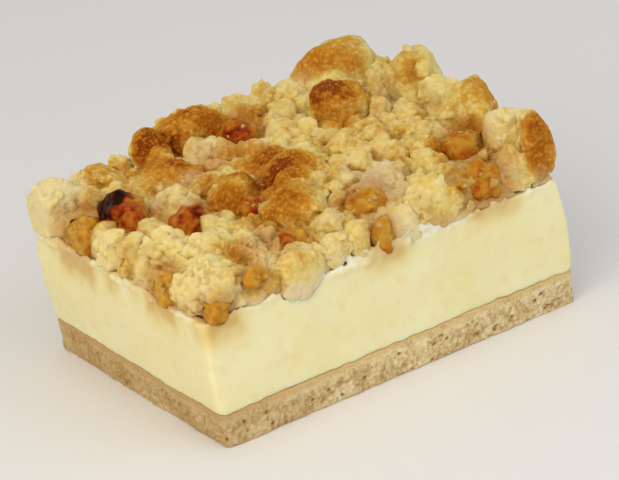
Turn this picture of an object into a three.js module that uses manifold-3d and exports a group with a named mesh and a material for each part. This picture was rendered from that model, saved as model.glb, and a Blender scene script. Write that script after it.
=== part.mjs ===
// One portion of an apple sour cream tart, cut as a block from a tray bake. A short, crumbly base
// carries a thick sour cream filling, and on it lies a crumble with pieces of baked apple in it.
// Millimetres, +Z up. The origin is on the underside, at the middle of the portion. The long cut
// face that is seen looks along -Y, and the short one along -X.

import * as THREE from "three";
import { mergeVertices } from "three/addons/utils/BufferGeometryUtils.js";
import { ImprovedNoise } from "three/addons/math/ImprovedNoise.js";
import Module from "manifold-3d";

const wasm = await Module();
wasm.setup();

// The block and its layers
const LENGTH = 95;
const WIDTH = 78;
const BASE_TOP = 8.2;
const FILLING_TOP = 31;
const CORNER_RADIUS = 1.2;

// Clearance between pieces that lie against each other, what a rough lump grows by for it, and how
// far the single crumbs keep away from the apple, which shows between them
const GAP = 0.3;
const ROOM = 0.45;
const APPLE_ROOM = 1.6;

// How far the knife left crumbs standing proud of the cut faces
const OVERHANG = 0.7;

// The crumble bed: its depth at the front left corner, and how much deeper it gets over the
// length and over the width
const BED_DEPTH = 4.2;
const BED_RISE_ALONG = 3.4;
const BED_RISE_ACROSS = 2.4;

// Colours and roughness, as baked
const BASE_COLOUR = 0xc4a26c;
const FILLING_COLOUR = 0xe8dcae;
const CRUMBLE_COLOUR = 0xd9b97a;
const APPLE_COLOUR = 0xb9822a;
const DRY_ROUGHNESS = 0.85;
const CREAM_ROUGHNESS = 0.5;
const APPLE_ROUGHNESS = 0.35;

const noise = new ImprovedNoise();
const { lerp, degToRad, seededRandom } = THREE.MathUtils;

// A closed geometry as a solid that can be joined and cut.
function solid(geometry) {
  const bare = geometry.clone();
  bare.deleteAttribute("normal");
  bare.deleteAttribute("uv");
  const merged = mergeVertices(bare, 1e-4);
  return new wasm.Manifold(
    new wasm.Mesh({
      numProp: 3,
      vertProperties: merged.attributes.position.array,
      triVerts: new Uint32Array(merged.index.array),
    }),
  );
}

// The largest connected body of a solid, without the scraps that a cut leaves.
function largest(cut) {
  return cut.decompose().reduce((best, body) => (body.volume() > best.volume() ? body : best));
}

function geometryOf(made) {
  const mesh = made.getMesh();
  const geometry = new THREE.BufferGeometry();
  geometry.setAttribute("position", new THREE.BufferAttribute(mesh.vertProperties, 3));
  geometry.setIndex(new THREE.BufferAttribute(mesh.triVerts, 1));
  geometry.computeVertexNormals();
  return geometry;
}

// The portion's outline, set in by inset: three points round each corner, and the sides divided
// into equal steps.
function outline(inset, stepsAlong, stepsAcross) {
  const x = LENGTH / 2 - inset - CORNER_RADIUS;
  const y = WIDTH / 2 - inset - CORNER_RADIUS;
  const corners = [[x, -y], [x, y], [-x, y], [-x, -y]];
  const arcs = corners.map(([cx, cy], i) => {
    const start = degToRad(90 * (i - 1));
    const arc = new THREE.EllipseCurve(cx, cy, CORNER_RADIUS, CORNER_RADIUS, start, start + Math.PI / 2);
    return arc.getPoints(2);
  });
  return arcs.flatMap((arc, i) => {
    const next = arcs[(i + 1) % arcs.length][0];
    const steps = i % 2 === 0 ? stepsAcross : stepsAlong;
    const side = Array.from({ length: steps - 1 }, (_, k) => arc[2].clone().lerp(next, (k + 1) / steps));
    return [...arc, ...side];
  });
}

// A layer of the portion: one wall through all its levels, closed above and below. height gives
// a ring's Z at a point, and relief how far the wall stands out there.
function layer(levels, stepsAlong, stepsAcross, relief) {
  const rings = levels.map(({ inset, height }) => {
    const points = outline(inset, stepsAlong, stepsAcross);
    return points.map((point, i) => {
      const before = points.at(i - 1);
      const after = points[(i + 1) % points.length];
      const out = new THREE.Vector2(after.y - before.y, before.x - after.x).normalize();
      const z = height(point.x, point.y);
      const moved = point.clone().addScaledVector(out, relief(point.x, point.y, z));
      return new THREE.Vector3(moved.x, moved.y, z);
    });
  });
  const count = rings[0].length;
  const index = [];
  for (let k = 0; k + 1 < rings.length; k += 1) {
    for (let i = 0; i < count; i += 1) {
      const a = k * count + i;
      const b = k * count + ((i + 1) % count);
      index.push(a, b, b + count, a, b + count, a + count);
    }
  }
  const top = (rings.length - 1) * count;
  for (const [i, j, k] of THREE.ShapeUtils.triangulateShape(rings[0], [])) {
    index.push(i, k, j);
  }
  for (const [i, j, k] of THREE.ShapeUtils.triangulateShape(rings.at(-1), [])) {
    index.push(top + i, top + j, top + k);
  }
  const geometry = new THREE.BufferGeometry().setFromPoints(rings.flat());
  geometry.setIndex(index);
  return geometry;
}

// Three octaves of noise that each differ by seed, from about -1 to 1.
function crag({ x, y, z }, seed) {
  const broad = noise.noise(x * 1.1 + seed * 3.7, y * 1.1 - seed * 2.3, z * 1.1 + seed);
  const middle = noise.noise(x * 2.6 - seed, y * 2.6 + seed * 1.9, z * 2.6 + seed * 4.1);
  const fine = noise.noise(x * 5.3 + seed, y * 5.3 + seed, z * 5.3 - seed * 2.9);
  return broad * 0.9 + middle * 0.55 + fine * 0.3;
}

// A rough ball: half extents size, turned about Z, and broken up by crag.
function ball({ at, size, turn = 0, detail = 1, seed, rough = 0.3 }, grow = 0) {
  const geometry = new THREE.IcosahedronGeometry(1, detail);
  const position = geometry.attributes.position;
  const point = new THREE.Vector3();
  const stretch = new THREE.Vector3(...size).addScalar(grow);
  const place = new THREE.Matrix4().makeRotationZ(degToRad(turn)).setPosition(...at);
  for (let i = 0; i < position.count; i += 1) {
    point.fromBufferAttribute(position, i);
    point.multiplyScalar(1 + rough * crag(point, seed)).multiply(stretch);
    point.applyMatrix4(place);
    position.setXYZ(i, point.x, point.y, point.z);
  }
  return solid(geometry);
}

// A lump of the topping: one rough ball, and on a large one smaller knobs baked onto its sides.
const KNOB_REACH = 0.72;
const KNOB_SIZE = 0.46;

function lump(form, grow = 0) {
  const { at, size, knobs = 0, seed } = form;
  const parts = [ball(form, grow)];
  for (let k = 0; k < knobs; k += 1) {
    const around = 2 * Math.PI * (k / knobs + seededRandom(seed * 100 + k));
    const climb = lerp(-0.1, 0.6, seededRandom(seed * 200 + k));
    const side = new THREE.Vector3(Math.cos(around), Math.sin(around), climb).normalize();
    const centre = side.multiply(new THREE.Vector3(...size)).multiplyScalar(KNOB_REACH);
    parts.push(
      ball(
        {
          at: centre.add(new THREE.Vector3(...at)).toArray(),
          size: size.map((half) => half * KNOB_SIZE),
          detail: 0,
          seed: seed + k + 50,
        },
        grow,
      ),
    );
  }
  return wasm.Manifold.union(parts);
}

// Base: short, dry pastry, baked before the filling went on, with a grainy cut side.
function makeBase() {
  const relief = (x, y, z) => 0.45 * noise.noise(x * 0.31, y * 0.31, z * 0.9 + 5) + 0.05;
  const levels = [
    { inset: 0.2, height: () => 0 },
    { inset: 0.1, height: () => 0.9 },
    { inset: 0, height: () => 3.2 },
    { inset: 0.1, height: () => 5.8 },
    { inset: 0, height: () => BASE_TOP },
  ];
  return solid(layer(levels, 16, 13, relief));
}

// Filling: a set sour cream custard with smooth knife-cut sides that bulge a little, and a bank
// of it pushed up between the crumbs along the long cut face.
const FILLING_LEVELS = 4;
const SHORT_FACE_BULGE = 0.8;
const LONG_FACE_BULGE = 0.15;
const BANK = { at: [-3, -35.5, 30.5], size: [15, 3.2, 2.9], seed: 4.2, rough: 0.2 };

function makeFilling() {
  const low = BASE_TOP + GAP;
  const depth = FILLING_TOP - low;
  const relief = (x, y, z) => {
    const most = Math.abs(x) > LENGTH / 2 - CORNER_RADIUS ? SHORT_FACE_BULGE : LONG_FACE_BULGE;
    const bulge = most * Math.sin((Math.PI * (z - low)) / depth);
    return bulge + 0.3 * noise.noise(x * 0.09, y * 0.09, z * 0.12 + 9);
  };
  const levels = Array.from({ length: FILLING_LEVELS + 1 }, (_, k) => ({
    inset: 0,
    height: () => low + (depth * k) / FILLING_LEVELS,
  }));
  return solid(layer(levels, 14, 11, relief)).add(lump(BANK));
}

// The larger lumps of the crumble, each its own piece. at is the middle and size the half
// extents before the crags. Most stand on the bed. Those marked deep go down through it at a cut
// face, and those marked sunk press into the filling too.
const CRUMB_LUMPS = {
  crumb_back_crown: {
    at: [34.4, 33.4, 42.8], size: [10.2, 6.4, 6.8], turn: -8, detail: 2, knobs: 2, seed: 1, rough: 0.22,
  },
  crumb_back_ball: { at: [24.8, 17, 41.4], size: [7, 7.4, 7], detail: 2, seed: 2, rough: 0.22 },
  crumb_left_crown: { at: [-16.4, 34.4, 40.4], size: [5.6, 4.8, 6], turn: 15, seed: 3 },
  crumb_left_slab: { at: [-20, 22.6, 37.2], size: [9, 8, 5.4], detail: 2, knobs: 2, seed: 4 },
  crumb_back_gold: { at: [-5.4, 34.8, 41.6], size: [8.4, 5, 6.6], turn: 10, detail: 2, knobs: 2, seed: 5 },
  crumb_back_pale: { at: [7.4, 35.2, 39.8], size: [7, 4.2, 5.4], seed: 6 },
  crumb_back_spike: { at: [15, 36.4, 42], size: [2.6, 2.4, 4], seed: 51 },
  crumb_back_cream: { at: [22.6, 35, 38.8], size: [5.4, 4.2, 6], seed: 7 },
  crumb_middle_gold: { at: [-14.4, -0.2, 37.8], size: [6.4, 6.4, 5.6], turn: 20, seed: 8 },
  crumb_middle_top: { at: [2, -0.6, 39], size: [7.2, 6.6, 5.8], turn: -10, seed: 9 },
  crumb_middle_front: {
    at: [-8.8, -16.4, 37.4], size: [7, 8.6, 6.2], turn: 12, detail: 2, knobs: 1, seed: 10, rough: 0.22,
  },
  crumb_right_peak: { at: [43, 10.8, 43.2], size: [5.6, 6.4, 7.8], turn: 8, detail: 2, knobs: 1, seed: 11 },
  crumb_right_ridge: { at: [43.4, 0, 40.8], size: [5.2, 6.4, 6], seed: 52 },
  crumb_right_gold: { at: [42.4, -13.8, 42.8], size: [6.6, 7, 7.2], detail: 2, knobs: 1, seed: 12 },
  crumb_right_round: { at: [43, -27.6, 41.4], size: [5.6, 5.8, 6], seed: 13, rough: 0.2 },
  crumb_right_end: { at: [45, -36.4, 39.4], size: [4, 4.4, 9], seed: 14, deep: true },
  crumb_right_low: { at: [38.6, -35.8, 35.6], size: [5.6, 4.8, 5], seed: 15, deep: true },
  crumb_right_back: { at: [42, 27, 38.8], size: [6.2, 6.4, 5.4], seed: 16 },
  crumb_right_inner: { at: [31.6, -8, 37.8], size: [5.8, 5.4, 5.4], seed: 17 },
  crumb_right_small: { at: [27, -18.4, 39], size: [3.8, 3.6, 4], seed: 18 },
  crumb_right_front: { at: [24, -31.4, 37.4], size: [3.8, 3.6, 4], seed: 54 },
  crumb_front_yellow: {
    at: [16.4, -35, 35.2], size: [6.8, 5, 6.4], turn: -6, detail: 2, seed: 19, rough: 0.18, deep: true,
  },
  crumb_front_beige: { at: [7, -36.2, 33.6], size: [4, 3.4, 5], seed: 20, sunk: true },
  crumb_front_sugared: { at: [11.4, -22.4, 37.4], size: [7.8, 6.2, 4.8], turn: 14, seed: 21 },
  crumb_front_block: { at: [-4.8, -36.8, 34.6], size: [2.8, 2.8, 5], seed: 55, sunk: true },
  crumb_front_upright: { at: [-10.8, -36.2, 34.4], size: [3.4, 3, 4.6], seed: 22, sunk: true },
  crumb_front_hanging: { at: [-20.4, -36.4, 32.8], size: [6, 3.8, 6.8], seed: 23, sunk: true },
  crumb_front_inner: { at: [-27.2, -27.4, 36], size: [4.6, 4.4, 4.6], seed: 53 },
  crumb_corner_heap: { at: [-40.6, -31.4, 35.2], size: [7.2, 7.6, 6.2], knobs: 2, seed: 24, sunk: true },
  crumb_corner_upper: { at: [-31.8, -19, 36.8], size: [6.2, 6, 5.4], turn: 30, seed: 25 },
  crumb_side_pale: { at: [-39, -8.8, 35.8], size: [5, 5.2, 5.2], seed: 26, deep: true },
  crumb_side_flake: { at: [-44.6, 4.8, 34.4], size: [3, 4.4, 5.6], seed: 27, sunk: true },
  crumb_far_corner: { at: [-43.6, 34.4, 36.4], size: [8.2, 6.8, 6.4], knobs: 2, seed: 28, deep: true },
  crumb_far_low: { at: [-31.8, 34.6, 37.2], size: [6.2, 5, 4.8], seed: 29 },
};

// Pieces of baked apple that show between the crumbs and at the cut faces.
const APPLE_PIECES = {
  apple_charred: { at: [-36.2, 14.2, 37.6], size: [5.2, 8.4, 5], turn: -6, detail: 2, seed: 31 },
  apple_far_corner: { at: [-44.2, 19.4, 33.4], size: [3.8, 6, 5.2], seed: 32, sunk: true },
  apple_left: { at: [-28.6, -3.4, 36.8], size: [4.6, 4.8, 4.8], seed: 33 },
  apple_side: { at: [-45.2, -19.6, 33.2], size: [2.8, 4.6, 4.1], seed: 34, sunk: true },
  apple_corner: { at: [-43, -37.2, 33.2], size: [3.4, 2.6, 3.8], seed: 35, sunk: true },
  apple_front_small: { at: [-32.6, -37.2, 35.8], size: [3.6, 2.6, 2.6], seed: 36 },
  apple_middle: { at: [-15.2, -8.6, 38], size: [3.2, 2.8, 3], seed: 43 },
  apple_back: { at: [2.6, 27, 38.8], size: [4.6, 4.4, 5], seed: 37 },
  apple_front: { at: [3.4, -28.2, 36.8], size: [5.2, 4.8, 5], turn: 20, seed: 38 },
  apple_front_strip: { at: [1.2, -36.8, 33.8], size: [3.4, 2.6, 4.2], turn: 30, seed: 39, sunk: true },
  apple_right: { at: [33.6, -22.4, 38.4], size: [5.2, 4.8, 4.8], seed: 40 },
  apple_right_front: { at: [30.4, -34.4, 35.4], size: [5, 4.6, 4.8], seed: 41, deep: true },
  apple_dark_pocket: { at: [-18.2, -29.4, 36], size: [4.8, 3.8, 3.8], turn: 15, seed: 42 },
};

const LUMPS = { ...CRUMB_LUMPS, ...APPLE_PIECES };

// Top of the crumble bed, before the crumbs that lie on it: a plane that climbs to the back right.
function bedTop(x, y) {
  const along = BED_RISE_ALONG * (x / LENGTH + 0.5);
  const across = BED_RISE_ACROSS * (y / WIDTH + 0.5);
  return FILLING_TOP + BED_DEPTH + along + across;
}

// The part of a lump that stands on the bed, clear of it by gap.
function onBed(piece, gap) {
  const up = new THREE.Vector3(-BED_RISE_ALONG / LENGTH, -BED_RISE_ACROSS / WIDTH, 1);
  const height = (bedTop(0, 0) + gap) / up.length();
  return piece.trimByPlane(up.normalize().toArray(), height);
}

// The bed's core: crumbs baked together into a slab, set in a little from the cut faces.
function makeBedCore() {
  const relief = (x, y, z) => 1.2 * noise.noise(x * 0.24, y * 0.24, z * 0.5) - 0.4;
  const levels = [
    { inset: 0.8, height: () => FILLING_TOP + GAP },
    { inset: 1.6, height: bedTop },
  ];
  return solid(layer(levels, 8, 7, relief));
}

// A single crumb: a rough ball of the radius, a little longer one way.
function makeCrumb(x, y, z, radius, seed) {
  const size = [radius * lerp(0.9, 1.4, seededRandom(seed)), radius, radius * 0.9];
  const turn = 360 * seededRandom(seed * 3);
  return ball({ at: [x, y, z], size, turn, detail: 0, seed, rough: 0.25 });
}

// Whether a crumb keeps out of all the room that the lumps need.
function isClear(crumb, rooms) {
  const box = crumb.boundingBox();
  return rooms.every(({ made, min, max }) => {
    const apart = [0, 1, 2].some((i) => box.max[i] < min[i] || box.min[i] > max[i]);
    return apart || crumb.intersect(made).isEmpty();
  });
}

// The single crumbs between the lumps, thrown on by a seeded draw, the larger ones first. A draw
// that would touch a lump is left out, and so is one that lands on a crumb already there. rise is
// how far a crumb's middle stands over the bed, as a share of its radius.
const CRUMB_SIZES = [
  { count: 44, from: 2.4, to: 3.4, rise: 0.4 },
  { count: 56, from: 1.5, to: 2.2, rise: 0.5 },
];
const CROWDING = 0.92;
const DRAWS = 1500;

function makeBedCrumbs(rooms) {
  const random = (draw, kind) => seededRandom(draw * 7919 + kind);
  const circles = [];
  const crumbs = [];
  for (const { count, from, to, rise } of CRUMB_SIZES) {
    const wanted = crumbs.length + count;
    for (let draw = 1; draw < DRAWS && crumbs.length < wanted; draw += 1) {
      const radius = lerp(from, to, random(draw, 1));
      const x = (LENGTH / 2 - radius) * lerp(-1, 1, random(draw, 2));
      const y = (WIDTH / 2 - radius) * lerp(-1, 1, random(draw, 3));
      if (circles.some((c) => Math.hypot(c.x - x, c.y - y) < CROWDING * (c.radius + radius))) {
        continue;
      }
      const crumb = makeCrumb(x, y, bedTop(x, y) + rise * radius, radius, draw);
      if (isClear(crumb, rooms)) {
        circles.push({ x, y, radius });
        crumbs.push(crumb);
      }
    }
  }
  return crumbs;
}

// Crumbs that the knife laid bare along the sides, where no lump is.
const SIDE_CRUMB = 2.5;
const SIDE_SPACING = 3;

function makeSideCrumbs(rooms) {
  const path = new THREE.Path(outline(0.6 * SIDE_CRUMB, 1, 1));
  path.closePath();
  const points = path.getSpacedPoints(Math.round(path.getLength() / SIDE_SPACING)).slice(1);
  let last = null;
  return points.flatMap(({ x, y }, i) => {
    const seed = 300 + i;
    const z = lerp(FILLING_TOP, bedTop(x, y), lerp(0.3, 0.8, seededRandom(seed * 7)));
    const crumb = makeCrumb(x, y, z, SIDE_CRUMB * lerp(0.75, 1.1, seededRandom(seed * 5)), seed);
    const crowded = last && Math.hypot(last.x - x, last.y - y, last.z - z) < 1.7 * SIDE_CRUMB;
    if (crowded || !isClear(crumb, rooms)) {
      return [];
    }
    last = { x, y, z };
    return [crumb];
  });
}

// Cuts a topping piece back to the cut faces and, unless it is sunk, to the filling.
function trimmed(piece, sunk) {
  const kept = piece
    .trimByPlane([1, 0, 0], -LENGTH / 2 - OVERHANG)
    .trimByPlane([-1, 0, 0], -LENGTH / 2 - OVERHANG)
    .trimByPlane([0, 1, 0], -WIDTH / 2 - OVERHANG)
    .trimByPlane([0, -1, 0], -WIDTH / 2 - OVERHANG);
  return sunk ? kept : kept.trimByPlane([0, 0, 1], FILLING_TOP + GAP);
}

const portion = new THREE.Group();

function place(name, made, color, roughness) {
  const material = new THREE.MeshStandardMaterial({ color, roughness, metalness: 0 });
  const mesh = new THREE.Mesh(geometryOf(made), material);
  mesh.name = name;
  portion.add(mesh);
}

place("base_layer", makeBase(), BASE_COLOUR, DRY_ROUGHNESS);

// Each piece of the topping is cut clear of the ones before it. A deep one leaves a pocket in the
// bed, and a sunk one leaves one in the filling as well.
const rooms = [lump(BANK, ROOM)];
const bedPockets = [...rooms];
const fillingPockets = [];
const keptClear = [...rooms];
for (const [name, form] of Object.entries(LUMPS)) {
  const goesDown = form.deep || form.sunk;
  const whole = trimmed(lump(form), form.sunk);
  const piece = goesDown ? whole : onBed(whole, GAP);
  const free = largest(piece.subtract(wasm.Manifold.union(rooms)));
  if (name in APPLE_PIECES) {
    place(name, free, APPLE_COLOUR, APPLE_ROUGHNESS);
  } else {
    place(name, free, CRUMBLE_COLOUR, DRY_ROUGHNESS);
  }
  const room = lump(form, ROOM);
  rooms.push(goesDown ? room : onBed(room, 0));
  if (goesDown) {
    bedPockets.push(room);
  }
  if (form.sunk) {
    fillingPockets.push(room);
  }
  keptClear.push(name in APPLE_PIECES ? lump(form, APPLE_ROOM) : room);
}

const filling = makeFilling().subtract(wasm.Manifold.union(fillingPockets));
place("sour_cream_filling", largest(filling), FILLING_COLOUR, CREAM_ROUGHNESS);

const boxes = keptClear.map((made) => ({ made, ...made.boundingBox() }));
const core = makeBedCore().subtract(wasm.Manifold.union(bedPockets));
const bed = wasm.Manifold.union([core, ...makeBedCrumbs(boxes), ...makeSideCrumbs(boxes)]);
place("crumble_bed", largest(trimmed(bed)), CRUMBLE_COLOUR, DRY_ROUGHNESS);

export default portion;
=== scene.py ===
# A cut block of apple sour cream tart: a shortcrust base, a thick filling of set sour cream, and a
# baked crumble with pieces of apple in it. It stands on a pale table in soft light.

import math
import random

import bmesh
import bpy
import numpy as np
from mathutils import Matrix, Vector, kdtree, noise
from mathutils.bvhtree import BVHTree


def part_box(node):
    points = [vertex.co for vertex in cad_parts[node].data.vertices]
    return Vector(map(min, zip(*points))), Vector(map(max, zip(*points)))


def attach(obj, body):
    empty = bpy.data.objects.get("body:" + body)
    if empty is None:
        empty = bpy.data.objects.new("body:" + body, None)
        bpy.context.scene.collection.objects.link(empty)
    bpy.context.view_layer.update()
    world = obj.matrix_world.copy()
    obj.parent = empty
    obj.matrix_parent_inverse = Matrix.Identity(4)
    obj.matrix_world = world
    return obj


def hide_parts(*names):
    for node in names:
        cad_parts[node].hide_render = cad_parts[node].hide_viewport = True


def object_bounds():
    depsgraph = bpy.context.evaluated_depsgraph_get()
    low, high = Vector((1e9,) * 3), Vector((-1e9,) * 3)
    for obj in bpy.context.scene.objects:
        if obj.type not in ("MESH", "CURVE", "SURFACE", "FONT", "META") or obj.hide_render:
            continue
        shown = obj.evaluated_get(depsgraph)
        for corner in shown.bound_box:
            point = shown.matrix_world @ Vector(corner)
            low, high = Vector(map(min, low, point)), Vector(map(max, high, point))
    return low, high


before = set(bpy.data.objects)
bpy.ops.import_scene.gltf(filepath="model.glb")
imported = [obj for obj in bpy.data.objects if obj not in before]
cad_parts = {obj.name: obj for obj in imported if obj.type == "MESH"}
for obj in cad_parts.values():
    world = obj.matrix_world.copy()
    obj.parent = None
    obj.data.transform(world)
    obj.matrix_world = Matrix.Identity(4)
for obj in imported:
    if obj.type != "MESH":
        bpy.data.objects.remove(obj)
cad_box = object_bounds()

# Shortcrust base: a thin, dry layer of sugar pastry that was pressed into the tray and baked before
# the filling went on. The knife leaves its side grainy, with small pores and paler crumbs of butter.

MM = 0.001
BASE_VOXEL = 0.36 * MM
BASE_GRAIN = 1.0 * MM
BASE_GRAIN_DEPTH = 0.5 * MM
BASE_WAVE = 4.5 * MM
BASE_WAVE_DEPTH = 0.22 * MM
BASE_PORE = 2.9 * MM
BASE_PORE_DEPTH = 0.55 * MM
BASE_CRUST = 2.0 * MM
CRUST_EDGE = 0.8 * MM
CRUST_WAVE = 3 * MM
CRUST_START = -0.3 * MM
CRUST_FULL = 1.2 * MM
RIM_REACH = 38 * MM
LINE_REACH = 2 * MM
LINE_WAVE = 2.6 * MM
LINE_DEPTH = 0.35 * MM
LEVEL = 0.9
HIDDEN_INSET = 3.5 * MM
HIDDEN_NEAR = 0.3 * MM


def linear(colour):
    """An sRGB hex colour as the linear RGBA that a shader takes."""
    parts = [int(colour[i : i + 2], 16) / 255 for i in (1, 3, 5)]
    return [c / 12.92 if c <= 0.04045 else ((c + 0.055) / 1.055) ** 2.4 for c in parts] + [1.0]


def add_node(tree, kind, links=None, values=None, stops=None, **settings):
    """Adds a node with its settings, its sockets' own values, its ramp's stops and its links."""
    node = tree.nodes.new(kind)
    for name, value in settings.items():
        setattr(node, name, value)
    for socket, value in (values or {}).items():
        node.inputs[socket].default_value = value
    for socket, source in (links or {}).items():
        tree.links.new(source, node.inputs[socket])
    if stops:
        elements = node.color_ramp.elements
        while len(elements) < len(stops):
            elements.new(0.5)
        for element, (position, colour) in zip(elements, stops):
            element.position = position
            element.color = linear(colour)
    return node


def new_material(name):
    """An empty node material and its tree."""
    material = bpy.data.materials.new(name)
    material.use_nodes = True
    material.node_tree.nodes.clear()
    return material, material.node_tree


def cad_copy(node, grow=0.0):
    """The frame's own solid as an editable mesh, each point moved out by grow."""
    made = bmesh.new()
    made.from_mesh(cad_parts[node].data)
    bmesh.ops.remove_doubles(made, verts=made.verts, dist=0.01 * MM)
    made.normal_update()
    moves = [vertex.normal * grow for vertex in made.verts]
    for vertex, move in zip(made.verts, moves):
        vertex.co += move
    return made


def one_skin(name, made, voxel, smoothing):
    """A new object with one even skin of small faces round the mesh, its corners smoothed off."""
    mesh = bpy.data.meshes.new(name)
    made.to_mesh(mesh)
    made.free()
    piece = bpy.data.objects.new(name, mesh)
    bpy.context.scene.collection.objects.link(piece)
    remesh = piece.modifiers.new("remesh", "REMESH")
    remesh.mode = "VOXEL"
    remesh.voxel_size = voxel
    smooth = piece.modifiers.new("smooth", "SMOOTH")
    smooth.iterations = smoothing
    depsgraph = bpy.context.evaluated_depsgraph_get()
    skin = bpy.data.meshes.new_from_object(piece.evaluated_get(depsgraph))
    piece.modifiers.clear()
    piece.data = skin
    skin.shade_smooth()
    return piece


def merge_hidden(piece, heights):
    """Puts one large face at each height for the small level ones, which other layers hide."""
    made = bmesh.new()
    made.from_mesh(piece.data)
    edge_x, edge_y = cad_box[1].x - HIDDEN_INSET, cad_box[1].y - HIDDEN_INSET
    level = []
    for face in made.faces:
        middle = face.calc_center_median()
        if abs(face.normal.z) > LEVEL and abs(middle.x) < edge_x and abs(middle.y) < edge_y:
            if any(abs(middle.z - height) < HIDDEN_NEAR for height in heights):
                level.append(face)
    bmesh.ops.delete(made, geom=level, context="FACES")
    bmesh.ops.holes_fill(made, edges=[edge for edge in made.edges if edge.is_boundary], sides=0)
    made.to_mesh(piece.data)
    made.free()


def points_of(mesh):
    """A mesh's points and their normals as two arrays."""
    points = np.empty(3 * len(mesh.vertices), np.float32)
    mesh.vertices.foreach_get("co", points)
    normals = np.empty(3 * len(mesh.vertices), np.float32)
    mesh.vertex_normals.foreach_get("vector", normals)
    return points.reshape(-1, 3).astype(float), normals.reshape(-1, 3).astype(float)


def grains(points, size, seed=0.0):
    """How far each point lies from the middle of its grain, squared, for grains of that size."""
    moved = points / size + seed
    return np.array([noise.voronoi(Vector(point))[0][0] for point in moved]) ** 2


def waves(points, size, seed=0.0):
    """Soft noise between about -1 and 1 at each point, with waves of that size."""
    return np.array([noise.noise(Vector(point)) for point in points / size + seed])


def move_out(piece, normals, amount, rise=0.0):
    """Moves each point of a piece along its normal by its own amount, and up by its own rise."""
    points, _ = points_of(piece.data)
    moved = points + normals * amount[:, None]
    moved[:, 2] += rise
    piece.data.vertices.foreach_set("co", moved.astype(np.float32).ravel())
    piece.data.update()


def wavy_line(points, height):
    """How far up each point goes so that the line between two layers at that height is uneven."""
    near = np.clip(1 - np.abs(points[:, 2] - height) / LINE_REACH, 0, 1)
    return LINE_DEPTH * near * waves(points * (1, 1, 0), LINE_WAVE, 4.0)


def store(piece, **marks):
    """Keeps numbers for each point of a piece, for its material to read."""
    for name, values in marks.items():
        attribute = piece.data.attributes.new(name, "FLOAT", "POINT")
        attribute.data.foreach_set("value", np.clip(values, 0, 1).astype(np.float32))


def finish(piece, node, material):
    """Dresses a piece and puts it in the place of its solid."""
    piece.data.materials.clear()
    piece.data.materials.append(material)
    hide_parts(node)
    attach(piece, "root")


base_low, base_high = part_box("base_layer")
base = one_skin("base_layer_baked", cad_copy("base_layer"), BASE_VOXEL, 4)
merge_hidden(base, (base_low.z, base_high.z))
points, normals = points_of(base.data)
side = np.clip((LEVEL - np.abs(normals[:, 2])) * 4, 0, 1)
crumbly = side * np.clip((base_high.z - BASE_CRUST - points[:, 2]) / CRUST_EDGE, 0.2, 1)
grain = grains(points, BASE_GRAIN)
pores = np.clip(1.4 - grains(points * (1, 1, 1.6), BASE_PORE, 7.0) / 0.035, 0, 1)
wave = waves(points, BASE_WAVE)
relief = crumbly * (BASE_GRAIN_DEPTH * (0.3 - grain) - BASE_PORE_DEPTH * pores)
shift = relief + side * BASE_WAVE_DEPTH * wave
move_out(base, normals, shift, wavy_line(points, base_high.z))
# The base is browner towards its -x end, fading over a set reach.
rim = 0.42 * (1 - (points[:, 0] - base_low.x) / RIM_REACH)
# The recesses between grains and the pores are marked for painted shade.
store(base, pore=crumbly * pores, gap=crumbly * grain * 0.9, rim=rim)

# Shortcrust pastry, baked dry: it scatters light like sand. Its crumbs are about a millimetre, and
# a smooth, darker band at the top took colour before the filling went on. Shade is painted darker
# into its pores and the recesses between its grains, and it is browner towards the -x end.
PASTRY_GRAIN = 0.7 * MM
PASTRY_MOTTLE = 5 * MM
pastry, tree = new_material("shortcrust_pastry")
coordinates = add_node(tree, "ShaderNodeTexCoord").outputs["Object"]
grain = add_node(
    tree,
    "ShaderNodeTexNoise",
    {"Vector": coordinates},
    {"Scale": 1 / PASTRY_GRAIN, "Detail": 4.0, "Roughness": 0.6},
).outputs["Fac"]
mottle = add_node(
    tree,
    "ShaderNodeTexNoise",
    {"Vector": coordinates},
    {"Scale": 1 / PASTRY_MOTTLE, "Detail": 3.0},
).outputs["Fac"]
tone = add_node(tree, "ShaderNodeMath", {0: grain, 1: mottle}, operation="ADD").outputs["Value"]
tone = add_node(
    tree, "ShaderNodeMapRange", {"Value": tone}, {"From Min": 0.72, "From Max": 1.28}
).outputs["Result"]
pastry_colour = add_node(
    tree,
    "ShaderNodeValToRGB",
    {"Fac": tone},
    stops=[(0.0, "#ba9c64"), (0.4, "#dcc894"), (0.7, "#e9d9a8"), (1.0, "#f2eac2")],
).outputs["Color"]
marks = {
    name: add_node(tree, "ShaderNodeAttribute", attribute_name=name).outputs["Fac"]
    for name in ("gap", "pore", "rim")
}
height = add_node(tree, "ShaderNodeSeparateXYZ", {"Vector": coordinates}).outputs["Z"]
depth = add_node(
    tree,
    "ShaderNodeMath",
    {0: mottle, 2: height},
    {1: CRUST_WAVE},
    operation="MULTIPLY_ADD",
).outputs["Value"]
crust = add_node(
    tree,
    "ShaderNodeMapRange",
    {"Value": depth},
    {
        "From Min": base_high.z + CRUST_START,
        "From Max": base_high.z + CRUST_FULL,
        "To Max": 0.7,
    },
).outputs["Result"]
# Painted shade goes into the recesses between grains and into the pores; the last coat darkens the
# -x end.
coats = [
    (marks["gap"], "#a07a42"),
    (marks["pore"], "#93652a"),
    (crust, "#cba968"),
    (marks["rim"], "#9a6a2c"),
]
for share, colour in coats:
    pastry_colour = add_node(
        tree,
        "ShaderNodeMix",
        {"Factor": share, "A": pastry_colour},
        {"B": linear(colour)},
        data_type="RGBA",
    ).outputs["Result"]
pastry_bump = add_node(
    tree, "ShaderNodeBump", {"Height": grain}, {"Strength": 0.8, "Distance": 0.25 * MM}
).outputs["Normal"]
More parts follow.
